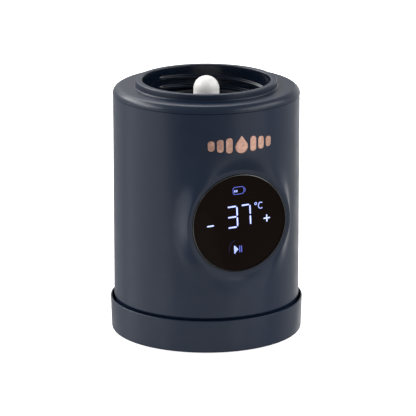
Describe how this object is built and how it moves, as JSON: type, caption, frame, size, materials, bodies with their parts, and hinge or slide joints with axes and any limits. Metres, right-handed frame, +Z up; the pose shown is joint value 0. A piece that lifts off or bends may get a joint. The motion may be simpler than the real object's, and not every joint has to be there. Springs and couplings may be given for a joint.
{
  "type": "bottle warmer",
  "caption": "Cordless round bottle warmer with a screw-in collar and probe over a heated cup, a round touch display on a raised boss, and a push-on cap that it stands in.",
  "frame": {"origin": "middle of the cap's foot ring, on the surface that the warmer stands on", "axes": "+Z up along the body's axis, -Y out of the display, +X to the right of someone facing the display"},
  "size_m": [0.0884, 0.0884, 0.1186],
  "materials": {
    "navy_shell": "soft-touch satin, midnight navy",
    "navy_silicone": "matt silicone, midnight navy",
    "probe_white": "smooth warm white",
    "seal_silicone": "matt charcoal silicone",
    "cup_steel": "spun and brushed stainless steel",
    "fixing_steel": "zinc-plated steel",
    "heater_aluminium": "plain",
    "lens_black": "high gloss black, smoked",
    "bezel_metal": "fine bright edge",
    "guide_white": "white diffusing plastic",
    "board_green": "solder mask",
    "frame_grey": "moulded, fine spark texture",
    "cell_wrap": "shrink wrap",
    "nickel_strip": "nickel strip",
    "wire_black": "silicone-covered wire",
    "ribbon_white": "flat flexible cable",
    "insulation_foam": "fibre felt",
    "emblem_foil": "rose-gold foil",
    "display_glow": "lit segments, bluish white"
  },
  "bodies": {
    "warmer": {"base_plate": "navy_shell", "base_screw_1": "fixing_steel", "base_screw_2": "fixing_steel", "base_screw_3": "fixing_steel", "base_screw_4": "fixing_steel", "battery_cell_1": "cell_wrap", "battery_cell_2": "cell_wrap", "battery_cell_3": "cell_wrap", "battery_cell_4": "cell_wrap", "battery_lead": "wire_black", "battery_strip_bottom": "nickel_strip", "battery_strip_left": "nickel_strip", "battery_strip_right": "nickel_strip", "body_foot_ring": "navy_silicone", "body_shell": "navy_shell", "bottle_seal": "seal_silicone", "clamp_ring": "frame_grey", "clamp_screw_1": "fixing_steel", "clamp_screw_2": "fixing_steel", "clamp_screw_3": "fixing_steel", "cover_seal": "seal_silicone", "cup_gasket": "seal_silicone", "display_bezel": "bezel_metal", "display_board": "board_green", "display_bond": "wire_black", "display_lens": "lens_black", "display_ribbon": "ribbon_white", "frame_screw_1": "fixing_steel", "frame_screw_2": "fixing_steel", "frame_screw_3": "fixing_steel", "frame_screw_4": "fixing_steel", "heat_shield": "insulation_foam", "heater_lead": "wire_black", "heater_plate": "heater_aluminium", "heating_cup": "cup_steel", "inner_frame": "frame_grey", "insulation_sleeve": "insulation_foam", "light_guide": "guide_white", "main_board": "board_green", "port_frame": "frame_grey", "probe_cap": "probe_white", "probe_nut": "fixing_steel", "probe_seal": "seal_silicone", "probe_sensor": "wire_black", "probe_tube": "cup_steel", "sensor_lead": "wire_black", "thermal_fuse": "fixing_steel", "top_cover": "navy_shell", "touch_spring_minus": "nickel_strip", "touch_spring_play": "nickel_strip", "touch_spring_plus": "nickel_strip", "usb_board": "board_green", "usb_lead": "wire_black", "usb_socket": "fixing_steel"},
    "stand_cap": {"base_cap": "navy_shell", "cap_foot_ring": "navy_silicone", "cap_liner": "seal_silicone"},
    "port_cover": {"port_flap": "navy_silicone"}
  },
  "joints": [
    {"name": "cap_pull", "type": "slide", "parent": "warmer", "child": "stand_cap", "axis": [0, 0, -1], "range_m": [0, 0.03]},
    {"name": "flap_fold", "type": "hinge", "parent": "warmer", "child": "port_cover", "pos_m": [0, 0.0424, 0.02035], "axis": [-1, 0, 0], "range_deg": [0, 100]}
  ]
}
